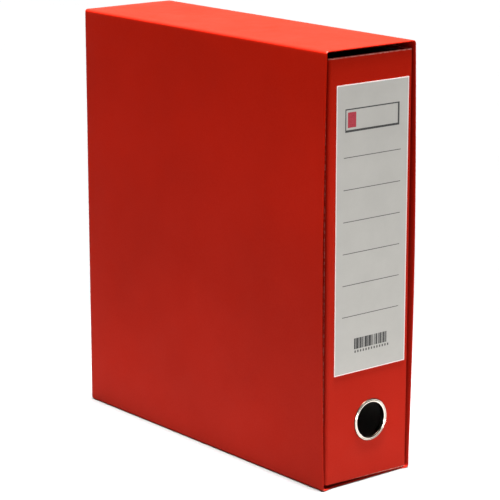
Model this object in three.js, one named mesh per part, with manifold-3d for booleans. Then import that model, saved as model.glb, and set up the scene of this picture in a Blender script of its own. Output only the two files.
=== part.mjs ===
// A4 lever arch file standing in its slipcase.
// Millimetres, +Z up. The spine and the slipcase's mouth face -Y, and X runs across the file's thickness:
// the front cover is at +X and the back cover, which carries the lever arch mechanism, is at -X.
// The origin is at the middle of the slipcase's footprint, on the surface that it stands on.
import * as THREE from "three";
import { mergeVertices } from "three/addons/utils/BufferGeometryUtils.js";
import Module from "manifold-3d";

const wasm = await Module();
wasm.setup();

// ---- Driving dimensions ----

const BOARD = 2; // grey board of the covers and the spine
const CASE_BOARD = 1; // card of the slipcase
const SHEET = 0.3; // lining paper and label
const GLUE = 0.1; // glue line between pieces that lie on each other
const PIN_PLAY = 0.3; // radial gap round each pin

const CASE = { width: 86, depth: 291, height: 325 };
const FILE = { width: 80.6, depth: 285, height: 318, recess: 1, lift: 0.3, shift: 0.9 };
const CREASE_RADIUS = 3.2; // outer radius of the board where it folds from the spine to a cover

const LABEL = { width: 69.6, height: 213.5, x: 1.4, z: 192.5 };
const RING = { x: 3.1, z: 46, holeRadius: 13.3, rimRadius: 1.35, rimRise: 0.8, wall: 0.6, sides: 36 };
const WASHER = { inner: 14.2, outer: 17.5, thickness: 0.5 };

// The mechanism is measured from the base plate's upper face (x), along the file's depth (y)
// and from the file's mid-height (z).
const PLATE = { length: 160, near: -128, far: -70, thickness: 1, corner: 4 };
const RIVET = { near: -120, far: -78, z: 72, shank: 1.6, hole: 2, head: 3.2, sides: 16 };
const RIVET_HEAD = { outer: 0.4, inner: 0.9, slope: 0.6 };
const POST = { y: -75, spacing: 80, outer: 3.2, bore: 2.2, height: 34, mouthBevel: 0.4, sides: 24 };
const POST_COLLAR = { radius: 4.4, height: 1 };

const WIRE = { radius: 2, y: -118, shaftHeight: 6, footBend: 5, crankBend: 3, endGap: 0.4 };
const WIRE_FACETS = { sides: 10, steps: 160 };
const CRANK = { reach: 9, halfLength: 12, z: 8 };
const STRAP = { z: 28, width: 6, thickness: 1, clearance: 0.5, foot: 6 };
const LEAF = { thickness: 0.5, halfWidth: 2.5, start: -28, foot: 8, rise: 12, flat: 13 };
const LEAF_HEIGHT = { ramp: 3, tip: 3.2 };

const LEVER = { width: 12, plate: 1.2, shortArm: 11, shortAngle: Math.PI / 9, pinRadius: 1.5 };
const LEVER_ARM = { height: 3.4, heel: 4, straight: 33, bendRadius: 10, bendAngle: 0.3 * Math.PI };
const LEVER_TAB_END = [-44.5, 11.5];
const CHEEK = { shortHalfWidth: 3, longHalfWidth: 3.4, length: 22, play: 0.4 };
const LEVER_PIN_HEAD = { radius: 2.6, thickness: 0.8 };
const ROLLER = { radius: 3.5, width: 8, pinRadius: 1, gap: 0.25, sides: 24 };
const SMALL_PIN_HEAD = { roller: 1.8, catch: 1.6, thickness: 0.6 };
const EAR = { inner: 7.2, thickness: 1.2, topRadius: 4.5, halfLength: 8 };
const PIN_SIDES = 20;

const BAR = { length: 130, width: 14, thickness: 1.5, lift: 1.5, corner: 6, holePlay: 0.4 };
const LUG = { radius: 2.4, thickness: 1, play: 0.5 };
const CATCH = { z: 28, height: 5.4, halfWidth: 4.4, bossRadius: 2.1, thickness: 1.4, pinRadius: 1 };
const CATCH_LINE = { noseRise: 1.2, noseGap: 0.5, knee: [-12, 2.5], tab: [-16, 5.5] };

// ---- Places worked out from them ----

const spineFront = -CASE.depth / 2 + FILE.recess;
const spineBack = spineFront + BOARD;
const coverStart = spineFront + CREASE_RADIUS + GLUE;
const coverEnd = spineFront + FILE.depth;
const fileBottom = CASE_BOARD + FILE.lift;
const fileMiddle = fileBottom + FILE.height / 2;
const coverInner = FILE.width / 2 - BOARD;
const plateTop = -(coverInner - GLUE - SHEET) + GLUE + PLATE.thickness;
const leverY = WIRE.y + CRANK.reach;
const rollerHeight = WIRE.shaftHeight + WIRE.radius + ROLLER.gap + ROLLER.radius;
const rollerDrop = LEVER.shortArm * Math.cos(LEVER.shortAngle);
const rollerBack = LEVER.shortArm * Math.sin(LEVER.shortAngle);
const pivotHeight = rollerHeight + rollerDrop;
const pivotZ = CRANK.z + rollerBack;

// ---- Materials ----

const finish = (color, roughness, metalness = 0) =>
  new THREE.MeshStandardMaterial({ color, roughness, metalness, flatShading: true });
const redPaper = finish(0xb02a1c, 0.45);
const redCasePaper = finish(0xb8301f, 0.45);
const liningPaper = finish(0xd8d6d0, 0.8);
const labelPaper = finish(0xbdb9b2, 0.75);
const chrome = finish(0xd5d5d8, 0.15, 1);
const steel = finish(0xb9bbbf, 0.35, 1);
const blackPlastic = finish(0x1d1d1f, 0.5);

// ---- Solids: closed meshes that can be joined and cut ----

function toSolid(geometry) {
  const bare = new THREE.BufferGeometry();
  bare.setAttribute("position", geometry.getAttribute("position"));
  bare.setIndex(geometry.index);
  const merged = mergeVertices(bare, 1e-4);
  const vertProperties = new Float32Array(merged.getAttribute("position").array);
  const triVerts = new Uint32Array(merged.index.array);
  const solid = new wasm.Manifold(new wasm.Mesh({ numProp: 3, vertProperties, triVerts }));
  if (solid.volume() > 0) return solid;
  return new wasm.Manifold(new wasm.Mesh({ numProp: 3, vertProperties, triVerts: triVerts.reverse() }));
}

function toGeometry(solid) {
  const { vertProperties, triVerts } = solid.getMesh();
  const geometry = new THREE.BufferGeometry();
  geometry.setAttribute("position", new THREE.BufferAttribute(vertProperties, 3));
  geometry.setIndex(new THREE.BufferAttribute(triVerts, 1));
  geometry.computeVertexNormals();
  return geometry;
}

const facingOut = (geometry) => toGeometry(toSolid(geometry));
const join = (...geometries) => toGeometry(geometries.map(toSolid).reduce((all, one) => all.add(one)));

function cut(body, ...tools) {
  return toGeometry(tools.map(toSolid).reduce((rest, tool) => rest.subtract(tool), toSolid(body)));
}

// ---- Shapes and bodies ----

const boxBetween = (low, high) =>
  new THREE.BoxGeometry(high[0] - low[0], high[1] - low[1], high[2] - low[2]).translate(
    (low[0] + high[0]) / 2,
    (low[1] + high[1]) / 2,
    (low[2] + high[2]) / 2,
  );

const AXIS_X = new THREE.Vector3(1, 0, 0);
const AXIS_Y = new THREE.Vector3(0, 1, 0);
const AXIS_Z = new THREE.Vector3(0, 0, 1);

function extrude(shape, from, to) {
  const settings = { depth: to - from, bevelEnabled: false, curveSegments: 6 };
  return new THREE.ExtrudeGeometry(shape, settings).translate(0, 0, from);
}

// The shape is drawn in (x, y), (y, z) or (z, x), and its thickness runs along the third axis.
const extrudeAlongZ = (shape, from, to) => extrude(shape, from, to);
const extrudeAlongX = (shape, from, to) =>
  extrude(shape, from, to).applyMatrix4(new THREE.Matrix4().makeBasis(AXIS_Y, AXIS_Z, AXIS_X));
const extrudeAlongY = (shape, from, to) =>
  extrude(shape, from, to).applyMatrix4(new THREE.Matrix4().makeBasis(AXIS_Z, AXIS_X, AXIS_Y));

// Round bodies: the profile holds (radius, place along the axis) and closes on itself.
const turnedAlongY = (profile, sides) =>
  facingOut(new THREE.LatheGeometry([...profile, profile[0]], sides));
const turnedAlongX = (profile, sides) => turnedAlongY(profile, sides).rotateZ(-Math.PI / 2);
const rodAlongX = (radius, from, to, y, z, sides) => {
  const upright = new THREE.CylinderGeometry(radius, radius, to - from, sides);
  return upright.rotateZ(-Math.PI / 2).translate((from + to) / 2, y, z);
};
const rodAlongY = (radius, from, to, x, z, sides) =>
  new THREE.CylinderGeometry(radius, radius, to - from, sides).translate(x, (from + to) / 2, z);

// A cutter for a pin's hole along Y, long enough for every piece that a pin passes through.
const holeAlongY = (pinRadius, [x, y, z]) =>
  rodAlongY(pinRadius + PIN_PLAY, y - LEVER.width, y + LEVER.width, x, z, PIN_SIDES);

const points = (pairs) => pairs.map(([a, b]) => new THREE.Vector2(a, b));

function roundedRectangle(low, high, radius) {
  const shape = new THREE.Shape();
  shape.absarc(high[0] - radius, high[1] - radius, radius, 0, Math.PI / 2);
  shape.absarc(low[0] + radius, high[1] - radius, radius, Math.PI / 2, Math.PI);
  shape.absarc(low[0] + radius, low[1] + radius, radius, Math.PI, 1.5 * Math.PI);
  shape.absarc(high[0] - radius, low[1] + radius, radius, 1.5 * Math.PI, 2 * Math.PI);
  return shape;
}

// Two round ends joined by straight sides.
function capsule(start, end, radius) {
  const angle = Math.atan2(end[1] - start[1], end[0] - start[0]);
  const shape = new THREE.Shape();
  shape.absarc(end[0], end[1], radius, angle - Math.PI / 2, angle + Math.PI / 2);
  shape.absarc(start[0], start[1], radius, angle + Math.PI / 2, angle + 1.5 * Math.PI);
  return shape;
}

const apart = (point, i, all) => i === 0 || point.distanceTo(all[i - 1]) > 1e-6;
const pointsOf = (path) => path.getPoints(8).filter(apart);

// The outline of sheet metal that follows a path, half its thickness to each side, with mitred corners.
function sheetOutline(path, thickness) {
  const line = pointsOf(path);
  const directions = line.slice(1).map((point, i) => point.clone().sub(line[i]).normalize());
  const offsets = line.map((_, i) => {
    const leaving = directions[Math.min(i, directions.length - 1)];
    const arriving = directions[Math.max(i - 1, 0)];
    const along = arriving.clone().add(leaving).normalize();
    return new THREE.Vector2(-along.y, along.x).multiplyScalar(thickness / 2 / along.dot(leaving));
  });
  const left = line.map((point, i) => point.clone().add(offsets[i]));
  const right = line.map((point, i) => point.clone().sub(offsets[i]));
  return new THREE.Shape([...left, ...right.reverse()]);
}

// A wire bent from straight lengths: each inner corner [x, y, z, radius] is rounded to its radius.
class BentWire extends THREE.Curve {
  constructor(corners) {
    super();
    this.pieces = [];
    this.arcLengthDivisions = 1000;
    const places = corners.map(([x, y, z]) => new THREE.Vector3(x, y, z));
    const directions = places.slice(1).map((place, i) => place.clone().sub(places[i]).normalize());
    let start = places[0];
    for (let i = 1; i < directions.length; i++) {
      start = this.addBend(start, places[i], directions[i - 1], directions[i], corners[i][3]);
    }
    this.addStraight(start, places.at(-1));
    this.total = this.pieces.reduce((sum, piece) => sum + piece.length, 0);
  }

  addStraight(from, to) {
    const length = from.distanceTo(to);
    const direction = to.clone().sub(from).normalize();
    if (length > 1e-6) this.pieces.push({ length, at: (s) => from.clone().addScaledVector(direction, s) });
  }

  addBend(start, corner, arriving, leaving, radius) {
    const turn = arriving.angleTo(leaving);
    const setback = radius * Math.tan(turn / 2);
    const bendStart = corner.clone().addScaledVector(arriving, -setback);
    const inward = leaving.clone().addScaledVector(arriving, -Math.cos(turn)).normalize();
    const centre = bendStart.clone().addScaledVector(inward, radius);
    this.addStraight(start, bendStart);
    this.pieces.push({
      length: radius * turn,
      at: (s) =>
        centre
          .clone()
          .addScaledVector(inward, -radius * Math.cos(s / radius))
          .addScaledVector(arriving, radius * Math.sin(s / radius)),
    });
    return corner.clone().addScaledVector(leaving, setback);
  }

  getPoint(t, target = new THREE.Vector3()) {
    let rest = t * this.total;
    const piece = this.pieces.find((one, i) => {
      if (rest <= one.length || i === this.pieces.length - 1) return true;
      rest -= one.length;
      return false;
    });
    return target.copy(piece.at(rest));
  }
}

// ---- The scene graph ----

const object = new THREE.Group();
// The file stands a little off the slipcase's middle; x is measured from the file's own middle in its group.
const file = new THREE.Group();
file.position.x = FILE.shift;
object.add(file);
// The mechanism's origin is on the base plate's upper face, at the file's mid-height.
const mechanism = new THREE.Group();
mechanism.position.set(plateTop, 0, fileMiddle);
file.add(mechanism);

function add(group, name, geometry, material) {
  const mesh = new THREE.Mesh(geometry, material);
  mesh.name = name;
  group.add(mesh);
  return mesh;
}

// ---- Slipcase: five boards, open at the mouth ----

function addSlipcase() {
  const halfWidth = CASE.width / 2;
  const halfDepth = CASE.depth / 2;
  const inner = halfWidth - CASE_BOARD - GLUE;
  const back = halfDepth - CASE_BOARD;
  const roof = CASE.height - CASE_BOARD;
  const panels = {
    case_left_wall: [[-halfWidth, -halfDepth, 0], [CASE_BOARD - halfWidth, halfDepth, CASE.height]],
    case_right_wall: [[halfWidth - CASE_BOARD, -halfDepth, 0], [halfWidth, halfDepth, CASE.height]],
    case_floor: [[-inner, -halfDepth, 0], [inner, halfDepth, CASE_BOARD]],
    case_top_wall: [[-inner, -halfDepth, roof], [inner, halfDepth, CASE.height]],
    case_back_wall: [[-inner, back, CASE_BOARD + GLUE], [inner, halfDepth, roof - GLUE]],
  };
  for (const [name, corners] of Object.entries(panels)) {
    add(object, name, boxBetween(...corners), redCasePaper);
  }
}

// ---- Spine, its creases, label and finger ring ----

function addSpine() {
  const halfBoard = FILE.width / 2 - CREASE_RADIUS - GLUE;
  const fileTop = fileBottom + FILE.height;
  const holeRadius = WASHER.inner + GLUE;
  const [holeFront, holeBack] = [spineFront - BOARD, spineBack + BOARD];
  const fingerHole = rodAlongY(holeRadius, holeFront, holeBack, RING.x, RING.z, RING.sides);
  const board = boxBetween([-halfBoard, spineFront, fileBottom], [halfBoard, spineBack, fileTop]);
  add(file, "spine_board", cut(board, fingerHole), redPaper);

  const liningFront = spineBack + GLUE;
  const low = [-halfBoard, liningFront, fileBottom + BOARD];
  const high = [halfBoard, liningFront + SHEET, fileTop - BOARD];
  add(file, "spine_lining", cut(boxBetween(low, high), fingerHole), liningPaper);

  const labelLow = [LABEL.x - LABEL.width / 2, spineFront - GLUE - SHEET, LABEL.z - LABEL.height / 2];
  const labelHigh = [LABEL.x + LABEL.width / 2, spineFront - GLUE, LABEL.z + LABEL.height / 2];
  add(file, "spine_label", boxBetween(labelLow, labelHigh), labelPaper);
}

// The fold between the spine and a cover; side is 1 for the front cover and -1 for the back cover.
function addCrease(name, side) {
  const centre = [side * (FILE.width / 2 - CREASE_RADIUS), spineFront + CREASE_RADIUS];
  const [from, to] = side > 0 ? [-Math.PI / 2, 0] : [Math.PI, 1.5 * Math.PI];
  const shape = new THREE.Shape();
  shape.absarc(centre[0], centre[1], CREASE_RADIUS, from, to, false);
  shape.absarc(centre[0], centre[1], CREASE_RADIUS - BOARD, to, from, true);
  add(file, name, extrudeAlongZ(shape, fileBottom, fileBottom + FILE.height), redPaper);
}

// A rolled eyelet: its rim stands proud of the spine and its barrel is turned over a washer behind.
function addFingerRing() {
  const inside = RING.holeRadius;
  const barrel = inside + RING.wall;
  const rimCentre = inside + RING.rimRadius;
  const washerBack = BOARD + GLUE + SHEET + GLUE + WASHER.thickness;
  const turnover = washerBack + GLUE;
  const rimSeat = spineFront - GLUE;
  const profile = new THREE.Path();
  profile.moveTo(inside, spineFront + turnover + RING.wall);
  profile.lineTo(inside, rimSeat);
  profile.absellipse(rimCentre, rimSeat, RING.rimRadius, RING.rimRise, Math.PI, 2 * Math.PI, false);
  profile.lineTo(barrel, rimSeat);
  profile.lineTo(barrel, spineFront + turnover);
  profile.lineTo(barrel + 2 * RING.wall, spineFront + turnover);
  profile.lineTo(barrel + 2 * RING.wall, spineFront + turnover + RING.wall);
  const ring = add(file, "finger_ring", turnedAlongY(pointsOf(profile), RING.sides), chrome);
  ring.position.set(RING.x, 0, RING.z);

  const [front, back] = [spineFront + washerBack - WASHER.thickness, spineFront + washerBack];
  const { inner, outer } = WASHER;
  const section = points([[inner, front], [outer, front], [outer, back], [inner, back]]);
  const washer = add(file, "finger_ring_washer", turnedAlongY(section, RING.sides), steel);
  washer.position.set(RING.x, 0, RING.z);
}

// ---- Covers ----

// Each rivet's place [y, z], with z from the file's mid-height.
const rivetPlaces = [RIVET.near, RIVET.far].flatMap((y) => [-RIVET.z, RIVET.z].map((z) => [y, z]));
const rivetHoles = (height) =>
  rivetPlaces.map(([y, z]) => rodAlongX(RIVET.hole, -CASE.width, CASE.width, y, height + z, RIVET.sides));

function coverPieces(side) {
  const span = (near, far) => [Math.min(side * near, side * far), Math.max(side * near, side * far)];
  const [boardLow, boardHigh] = span(coverInner, FILE.width / 2);
  const [liningLow, liningHigh] = span(coverInner - GLUE - SHEET, coverInner - GLUE);
  const [bottom, top] = [fileBottom, fileBottom + FILE.height];
  return {
    board: boxBetween([boardLow, coverStart, bottom], [boardHigh, coverEnd, top]),
    lining: boxBetween(
      [liningLow, coverStart + BOARD, bottom + BOARD],
      [liningHigh, coverEnd - BOARD, top - BOARD],
    ),
  };
}

function addCovers() {
  const front = coverPieces(1);
  add(file, "front_cover_board", front.board, redPaper);
  add(file, "front_cover_lining", front.lining, liningPaper);
  const back = coverPieces(-1);
  add(file, "back_cover_board", cut(back.board, ...rivetHoles(fileMiddle)), redPaper);
  add(file, "back_cover_lining", cut(back.lining, ...rivetHoles(fileMiddle)), liningPaper);
}

// ---- Lever arch mechanism, on the back cover ----

function addBasePlate() {
  const halfLength = PLATE.length / 2;
  const outline = roundedRectangle([PLATE.near, -halfLength], [PLATE.far, halfLength], PLATE.corner);
  const plate = cut(extrudeAlongX(outline, -PLATE.thickness, 0), ...rivetHoles(0));
  add(mechanism, "mechanism_base_plate", plate, steel);
}

function addRivets() {
  const coverOutside = -FILE.width / 2 - plateTop;
  const headSide = RIVET.head - RIVET_HEAD.slope;
  const profile = points([
    [0, coverOutside - RIVET_HEAD.outer],
    [headSide, coverOutside - RIVET_HEAD.outer],
    [RIVET.head, coverOutside - GLUE],
    [RIVET.shank, coverOutside - GLUE],
    [RIVET.shank, GLUE],
    [RIVET.head, GLUE],
    [headSide, RIVET_HEAD.inner],
    [0, RIVET_HEAD.inner],
  ]);
  rivetPlaces.forEach(([y, z], i) => {
    const rivet = add(mechanism, `base_rivet_${i + 1}`, turnedAlongX(profile, RIVET.sides), steel);
    rivet.position.set(0, y, z);
  });
}

function addPosts() {
  const profile = points([
    [POST.bore, GLUE],
    [POST_COLLAR.radius, GLUE],
    [POST_COLLAR.radius, POST_COLLAR.height],
    [POST.outer, POST_COLLAR.height],
    [POST.outer, POST.height - POST.mouthBevel],
    [POST.outer - POST.mouthBevel, POST.height],
    [POST.bore, POST.height],
  ]);
  for (const [name, side] of [["lower_post", -1], ["upper_post", 1]]) {
    const post = add(mechanism, name, turnedAlongX(profile, POST.sides), chrome);
    post.position.set(0, POST.y, (side * POST.spacing) / 2);
  }
}

// Two arches and the shaft between them are one wire; a crank in the shaft takes the lever's push.
function addArchWire() {
  const span = POST.y - WIRE.y;
  const end = POST.height + WIRE.endGap;
  const crown = end + span / 2;
  const arch = (z) => [
    [end, POST.y, z],
    [crown, POST.y, z, span / 2],
    [crown, WIRE.y, z, span / 2],
    [WIRE.shaftHeight, WIRE.y, z, WIRE.footBend],
  ];
  const [crankBottom, crankTop] = [CRANK.z - CRANK.halfLength, CRANK.z + CRANK.halfLength];
  const corners = [
    ...arch(POST.spacing / 2),
    [WIRE.shaftHeight, WIRE.y, crankTop, WIRE.crankBend],
    [WIRE.shaftHeight, leverY, crankTop, WIRE.crankBend],
    [WIRE.shaftHeight, leverY, crankBottom, WIRE.crankBend],
    [WIRE.shaftHeight, WIRE.y, crankBottom, WIRE.crankBend],
    ...arch(-POST.spacing / 2).reverse(),
  ];
  const section = new THREE.Shape().absarc(0, 0, WIRE.radius, 0, 2 * Math.PI);
  const wire = new THREE.ExtrudeGeometry(section, {
    extrudePath: new BentWire(corners),
    steps: WIRE_FACETS.steps,
    curveSegments: WIRE_FACETS.sides / 2,
    bevelEnabled: false,
  });
  add(mechanism, "arch_wire", facingOut(wire), chrome);
}

function addBearingStraps() {
  const loop = WIRE.radius + STRAP.clearance + STRAP.thickness / 2;
  const footHeight = GLUE + STRAP.thickness / 2;
  const path = new THREE.Path();
  path.moveTo(footHeight, WIRE.y - loop - STRAP.foot);
  path.lineTo(footHeight, WIRE.y - loop);
  path.absarc(WIRE.shaftHeight, WIRE.y, loop, -Math.PI / 2, Math.PI / 2, false);
  path.lineTo(footHeight, WIRE.y + loop);
  path.lineTo(footHeight, WIRE.y + loop + STRAP.foot);
  const outline = sheetOutline(path, STRAP.thickness);
  for (const [name, side] of [["lower_bearing_strap", -1], ["upper_bearing_strap", 1]]) {
    const middle = side * STRAP.z;
    add(mechanism, name, extrudeAlongZ(outline, middle - STRAP.width / 2, middle + STRAP.width / 2), steel);
  }
}

// A leaf that lies along the shaft and presses the crank up, which opens the arches.
function addLeafSpring() {
  const rampStart = CRANK.z + LEAF.start + LEAF.foot;
  const rampEnd = rampStart + LEAF.rise;
  const path = new THREE.Path();
  path.moveTo(CRANK.z + LEAF.start, GLUE + LEAF.thickness / 2);
  path.lineTo(rampStart, GLUE + LEAF.thickness / 2);
  path.lineTo(rampEnd, LEAF_HEIGHT.ramp);
  path.lineTo(rampEnd + LEAF.flat, LEAF_HEIGHT.tip);
  const outline = sheetOutline(path, LEAF.thickness);
  const leaf = extrudeAlongY(outline, leverY - LEAF.halfWidth, leverY + LEAF.halfWidth);
  add(mechanism, "leaf_spring", leaf, steel);
}

// A channel with two ears that hold the lever's pin; the crank passes between the ears.
function addLeverBracket() {
  const earOutline = new THREE.Shape();
  earOutline.moveTo(CRANK.z - EAR.halfLength, GLUE);
  earOutline.lineTo(CRANK.z + EAR.halfLength, GLUE);
  earOutline.absarc(pivotZ, pivotHeight, EAR.topRadius, 0, Math.PI, false);
  const outer = EAR.inner + EAR.thickness;
  const low = [GLUE, leverY - outer, CRANK.z - EAR.halfLength];
  const high = [GLUE + EAR.thickness, leverY + outer, CRANK.z + EAR.halfLength];
  const earStarts = [leverY - outer, leverY + EAR.inner];
  const ears = earStarts.map((y) => extrudeAlongY(earOutline, y, y + EAR.thickness));
  const pinHole = holeAlongY(LEVER.pinRadius, [pivotHeight, leverY, pivotZ]);
  add(mechanism, "lever_bracket", cut(join(boxBetween(low, high), ...ears), pinHole), steel);
}

// A pin along Y with a flat head at each end.
function headedPin(radius, headRadius, headThickness, halfGrip) {
  const end = halfGrip + headThickness;
  const profile = points([
    [0, -end],
    [headRadius, -end],
    [headRadius, -halfGrip],
    [radius, -halfGrip],
    [radius, halfGrip],
    [headRadius, halfGrip],
    [headRadius, end],
    [0, end],
  ]);
  return turnedAlongY(profile, PIN_SIDES);
}

// The pieces that turn with the lever or carry it; the group's origin is on the pivot, between the ears.
function addLever() {
  const group = new THREE.Group();
  group.position.set(pivotHeight, leverY, pivotZ);
  mechanism.add(group);
  const cheekInner = ROLLER.width / 2 + CHEEK.play;
  const cheekOuter = cheekInner + LEVER.plate;
  addLeverBody(group, cheekInner, cheekOuter);

  const grip = EAR.inner + EAR.thickness + GLUE;
  const pivotPin = headedPin(LEVER.pinRadius, LEVER_PIN_HEAD.radius, LEVER_PIN_HEAD.thickness, grip);
  add(group, "lever_pivot_pin", pivotPin, steel);

  const { roller: headRadius, thickness: headThickness } = SMALL_PIN_HEAD;
  const rollerPin = headedPin(ROLLER.pinRadius, headRadius, headThickness, cheekOuter + GLUE);
  add(group, "roller_pin", rollerPin, steel).position.set(-rollerDrop, 0, -rollerBack);

  const bore = ROLLER.pinRadius + PIN_PLAY;
  const half = ROLLER.width / 2;
  const section = points([[bore, -half], [ROLLER.radius, -half], [ROLLER.radius, half], [bore, half]]);
  const roller = add(group, "roller", turnedAlongY(section, ROLLER.sides), blackPlastic);
  roller.position.set(-rollerDrop, 0, -rollerBack);
}

// Pressed sheet: a long arm that ends in a thumb tab, and two cheeks that hold the pivot and the roller.
function addLeverBody(group, cheekInner, cheekOuter) {
  const shortCheek = capsule([0, 0], [-rollerBack, -rollerDrop], CHEEK.shortHalfWidth);
  const longCheek = capsule([0, 0], [-CHEEK.length, 0], CHEEK.longHalfWidth);
  const spans = [[-cheekOuter, -cheekInner], [cheekInner, cheekOuter]];
  const cheekAt = (span) => [shortCheek, longCheek].map((outline) => extrudeAlongY(outline, ...span));

  const { height, heel, straight, bendRadius, bendAngle } = LEVER_ARM;
  const armLine = new THREE.Path();
  armLine.moveTo(heel, height);
  armLine.lineTo(-straight, height);
  armLine.absarc(-straight, height + bendRadius, bendRadius, -Math.PI / 2, -Math.PI / 2 - bendAngle, true);
  armLine.lineTo(...LEVER_TAB_END);
  const arm = extrudeAlongY(sheetOutline(armLine, LEVER.plate), -LEVER.width / 2, LEVER.width / 2);
  const pivotHole = holeAlongY(LEVER.pinRadius, [0, 0, 0]);
  const rollerHole = holeAlongY(ROLLER.pinRadius, [-rollerDrop, 0, -rollerBack]);
  add(group, "lever", cut(join(arm, ...spans.flatMap(cheekAt)), pivotHole, rollerHole), chrome);
}

// ---- Compressor bar: slides up and down the posts to hold the papers ----

function addCompressorBar() {
  const [bottom, top] = [BAR.lift, BAR.lift + BAR.thickness];
  const [near, far] = [POST.y - BAR.width / 2, POST.y + BAR.width / 2];
  const outline = roundedRectangle([near, -BAR.length / 2], [far, BAR.length / 2], BAR.corner);
  const postHoles = [-1, 1].map((side) =>
    rodAlongX(POST.outer + BAR.holePlay, 0, 2 * top, POST.y, (side * POST.spacing) / 2, POST.sides),
  );
  const lugInner = CATCH.halfWidth + LUG.play;
  const lugOuter = lugInner + LUG.thickness;
  const lugOutline = capsule([CATCH.z, bottom + LUG.radius], [CATCH.z, CATCH.height], LUG.radius);
  const lugStarts = [POST.y - lugOuter, POST.y + lugInner];
  const lugs = lugStarts.map((y) => extrudeAlongY(lugOutline, y, y + LUG.thickness));
  const plate = join(extrudeAlongX(outline, bottom, top), ...lugs);
  const pinHole = holeAlongY(CATCH.pinRadius, [CATCH.height, POST.y, CATCH.z]);
  add(mechanism, "compressor_bar", cut(plate, pinHole, ...postHoles), steel);

  const pin = headedPin(CATCH.pinRadius, SMALL_PIN_HEAD.catch, SMALL_PIN_HEAD.thickness, lugOuter + GLUE);
  add(mechanism, "catch_pin", pin, steel).position.set(CATCH.height, POST.y, CATCH.z);
}

// A rocking tab beside the upper post: its nose bears on the post and its other end is the thumb tab.
function addCompressorCatch() {
  const noseEnd = POST.spacing / 2 - POST.outer - CATCH_LINE.noseGap - CATCH.z;
  const line = new THREE.Path();
  line.moveTo(noseEnd, CATCH_LINE.noseRise);
  line.lineTo(0, 0);
  line.lineTo(...CATCH_LINE.knee);
  line.lineTo(...CATCH_LINE.tab);
  const half = CATCH.halfWidth;
  const boss = rodAlongY(CATCH.bossRadius, -half, half, 0, 0, PIN_SIDES);
  const tab = extrudeAlongY(sheetOutline(line, CATCH.thickness), -half, half);
  const pinHole = holeAlongY(CATCH.pinRadius, [0, 0, 0]);
  const piece = add(mechanism, "compressor_catch", cut(join(boss, tab), pinHole), blackPlastic);
  piece.position.set(CATCH.height, POST.y, CATCH.z);
}

addSlipcase();
addSpine();
addCrease("front_crease", 1);
addCrease("back_crease", -1);
addFingerRing();
addCovers();
addBasePlate();
addRivets();
addPosts();
addArchWire();
addBearingStraps();
addLeafSpring();
addLeverBracket();
addLever();
addCompressorBar();
addCompressorCatch();

export default object;
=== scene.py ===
"""A red lever arch file in its slipcase: the visible pieces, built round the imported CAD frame.

Metres, +Z up. The spine and the slipcase's mouth face -Y, the front cover is at +X.
"""

import math
import random

import bmesh
import bpy
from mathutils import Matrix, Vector, noise


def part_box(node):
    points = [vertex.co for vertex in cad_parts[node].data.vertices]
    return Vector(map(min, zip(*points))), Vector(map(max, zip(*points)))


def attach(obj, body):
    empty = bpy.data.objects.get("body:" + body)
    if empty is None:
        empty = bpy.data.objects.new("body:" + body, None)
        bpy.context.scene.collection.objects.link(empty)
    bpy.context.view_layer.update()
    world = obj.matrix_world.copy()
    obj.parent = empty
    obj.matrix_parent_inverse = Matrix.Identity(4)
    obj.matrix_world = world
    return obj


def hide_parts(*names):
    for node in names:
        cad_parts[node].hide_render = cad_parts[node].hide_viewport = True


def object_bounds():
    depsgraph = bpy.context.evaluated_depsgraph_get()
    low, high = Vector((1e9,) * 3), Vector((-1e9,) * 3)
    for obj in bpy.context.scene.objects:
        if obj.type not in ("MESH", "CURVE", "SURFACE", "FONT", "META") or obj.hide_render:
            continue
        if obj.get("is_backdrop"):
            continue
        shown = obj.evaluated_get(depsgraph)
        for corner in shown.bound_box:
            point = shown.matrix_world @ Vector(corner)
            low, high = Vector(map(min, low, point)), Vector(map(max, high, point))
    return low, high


MM = 0.001
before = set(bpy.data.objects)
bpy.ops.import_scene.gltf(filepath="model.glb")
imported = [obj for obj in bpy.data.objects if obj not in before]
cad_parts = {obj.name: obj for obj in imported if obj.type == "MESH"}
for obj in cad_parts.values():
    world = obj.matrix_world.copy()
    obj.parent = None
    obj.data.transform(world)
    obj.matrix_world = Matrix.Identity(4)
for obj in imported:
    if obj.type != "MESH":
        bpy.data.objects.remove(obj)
cad_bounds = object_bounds()

# ---- Driving values ----

CAMERA_PLACE = (-1.0394, -1.2732, 0.5534)
CAMERA_AZIMUTH = 39.43  # degrees from +Y towards +X
CAMERA_DROP = 13.85  # degrees below the level
CAMERA_LENS = 156.7
SENSOR_WIDTH = 36
CLIP_NEAR = 0.02
CLIP_FAR = 200

SUN_POWER = 19.0
SUN_SPREAD = 11  # degrees
SUN_DIRECTION = (0.0, 0.02, -1)
FILL_SIZE = (0.3, 0.03)
FILL_POWER = 0.3
FILL_PLACE = (-0.03, -0.5, 0.02)
FILL_TARGET = (0, -0.1, 0.03)
SKY_FADE = (0.065, 0.11)  # heights of a view direction between which the sky dims
SKY_STRENGTHS = (1.0, 0.03)  # below that fade and above it
FLOOR_HALF = 30
FLOOR_TONES = (0.163, 0.169)
LIGHT_POOL_TONE = 0.27  # painted pool of light: the floor's paler tone close to the object, which fills in its shadow and raises the light bounced onto its lower parts
LIGHT_POOL_FADE = (0.12, 0.42)  # distances between which that tone fades out

BOARD = 2 * MM  # thickness of the file's boards
RIM = 0.75 * MM  # rounding of a board's paper-wrapped edge
APRONS = (6 * MM, 1.6 * MM)  # rings on a board's flat faces, which keep its rubbing near the edge
COVER_CORNER = 2.5 * MM
PANEL_CORNER = 1 * MM

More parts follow.
